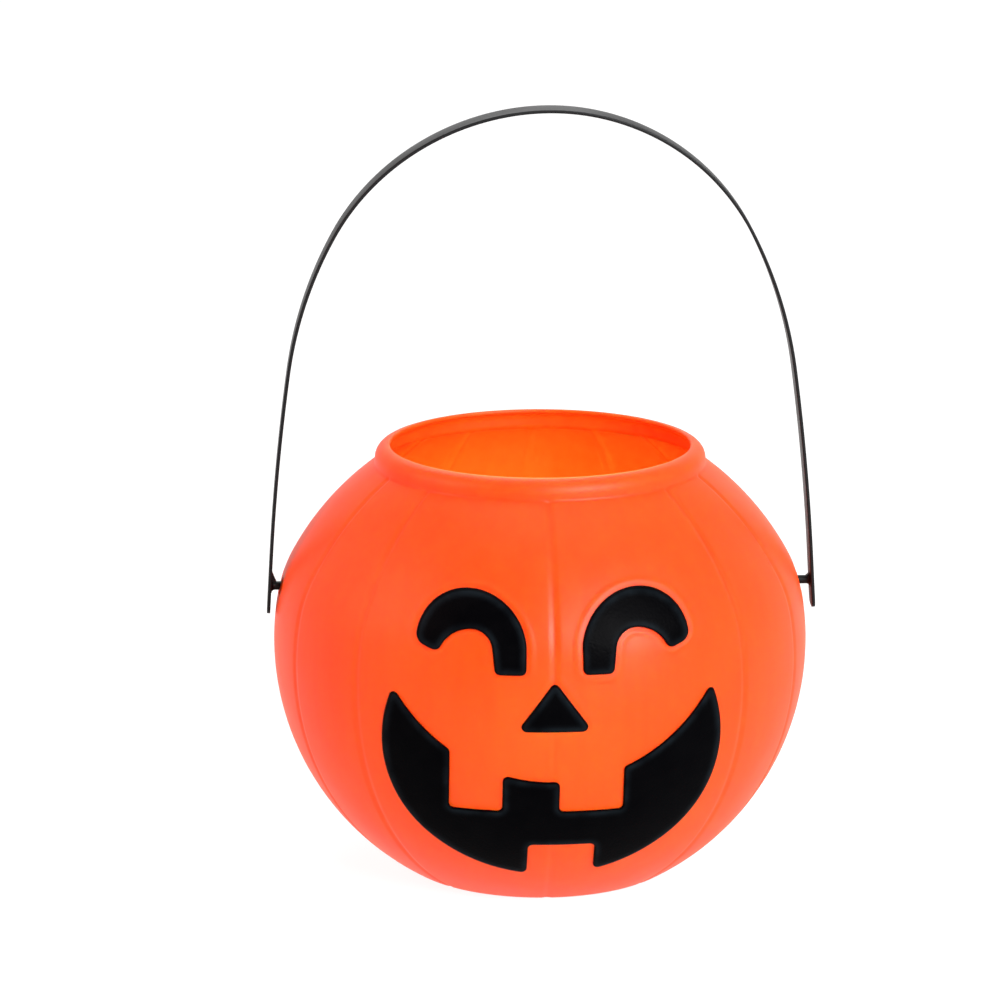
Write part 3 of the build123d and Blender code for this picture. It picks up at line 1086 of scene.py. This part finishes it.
for coatName, coatOutline in outlines.items():
    coatPiece = makeCoat(coatName, coatOutline)
    dress(coatPiece, enamel, "black_face_coat", "pail", coatName)
    print(coatPiece.name + ":", len(coatPiece.data.polygons), "faces")

strap = makeHandle()
dress(strap, strapBlack, "black_strap_plastic", "handle", "handle")
print("handle:", len(strap.data.polygons), "faces")


# Floor, light and camera

studio = {
    "floorReach": 6.0,  # metres
    "aim": (-12.0, 0.0, 112.6),  # mm
    "distance": 1500.0,
    "elevation": 13.71,  # degrees
    "azimuth": -2.7,
    "lens": 180.45,
    "roomFront": "#4A4A4A",  # dimmer on the camera's side
    "roomBack": "#FFFFFF",
    "roomSeen": "#FFFFFF",
    "roomStrength": 1.0,
    "roomDepth": (-0.9, 0.3),  # from the dim front to the pale back
    "ceiling": (0.5, 0.95),  # where the room dims overhead
    "ceilingDim": 0.15,
    "lights": {  # place in metres, size in metres, watts, colour
        "key": ((0.8, -1.35, 0.85), 0.9, 60.0, "#FFFFFF"),
        "fill": ((-1.4, -0.45, 0.85), 1.1, 20.0, "#FFC4B8"),
        "top": ((0.0, 0.1, 1.6), 1.4, 8.0, "#FFFFFF"),
        "back": ((0.0, 0.95, 1.4), 1.2, 13.0, "#FFFFFF"),
    },
}


def makeFloor():
    reach = studio["floorReach"] / mm
    corners = [(-reach, -reach, 0), (reach, -reach, 0), (reach, reach, 0), (-reach, reach, 0)]
    floor = newPiece("floor_card", corners, [(0, 1, 2, 3)])
    floor.data.materials.append(mattCard())


def makeLights():
    aim = Vector(studio["aim"]) * mm
    for name, (place, size, watts, colour) in studio["lights"].items():
        lamp = bpy.data.lights.new(name, "AREA")
        lamp.shape = "DISK"
        lamp.size = size
        lamp.energy = watts
        lamp.color = toLinear(colour)[:3]
        light = bpy.data.objects.new(name, lamp)
        light.location = place
        light.rotation_euler = (aim - light.location).to_track_quat("-Z", "Y").to_euler()
        bpy.context.scene.collection.objects.link(light)


# white room that is dimmer in front and overhead, so that the sides catch pale edges;
# seen directly it is white
def makeWorld():
    world = bpy.data.worlds.new("white_studio")
    world.use_nodes = True
    tree = world.node_tree
    tree.nodes.clear()
    coord = addNode(tree, "ShaderNodeTexCoord")
    axes = addNode(tree, "ShaderNodeSeparateXYZ", {"Vector": coord.outputs["Generated"]})
    depth = addNode(tree, "ShaderNodeMapRange", {
        "Value": axes.outputs["Y"], "From Min": studio["roomDepth"][0],
        "From Max": studio["roomDepth"][1]}, interpolation_type="SMOOTHSTEP")
    ceiling = addNode(tree, "ShaderNodeMapRange", {
        "Value": axes.outputs["Z"], "From Min": studio["ceiling"][0],
        "From Max": studio["ceiling"][1], "To Min": 1.0, "To Max": studio["ceilingDim"]},
        interpolation_type="SMOOTHSTEP")
    pale = addNode(tree, "ShaderNodeMath", {
        0: depth.outputs["Result"], 1: ceiling.outputs["Result"]}, operation="MULTIPLY")
    room = addNode(tree, "ShaderNodeMix", {
        "Factor": pale.outputs[0], mixA: toLinear(studio["roomFront"]),
        mixB: toLinear(studio["roomBack"])}, data_type="RGBA")
    path = addNode(tree, "ShaderNodeLightPath")
    seen = addNode(tree, "ShaderNodeMix", {
        "Factor": path.outputs["Is Camera Ray"], mixA: room.outputs[mixed],
        mixB: toLinear(studio["roomSeen"])}, data_type="RGBA")
    background = addNode(tree, "ShaderNodeBackground", {
        "Color": seen.outputs[mixed], "Strength": studio["roomStrength"]})
    addNode(tree, "ShaderNodeOutputWorld", {"Surface": background.outputs["Background"]})
    bpy.context.scene.world = world


def makeCamera():
    data = bpy.data.cameras.new("photo_view")
    data.lens = studio["lens"]
    data.sensor_width = 36.0
    data.clip_end = 50.0
    camera = bpy.data.objects.new("photo_view", data)
    aim = Vector(studio["aim"]) * mm
    turn, rise = math.radians(studio["azimuth"]), math.radians(studio["elevation"])
    back = Vector((math.sin(turn) * math.cos(rise), -math.cos(turn) * math.cos(rise),
                   math.sin(rise)))
    camera.location = aim + back * studio["distance"] * mm
    camera.rotation_euler = (-back).to_track_quat("-Z", "Y").to_euler()
    bpy.context.scene.collection.objects.link(camera)
    bpy.context.scene.camera = camera


makeFloor()
makeLights()
makeWorld()
makeCamera()
bpy.context.scene.view_settings.view_transform = "Standard"
print("studio ready")
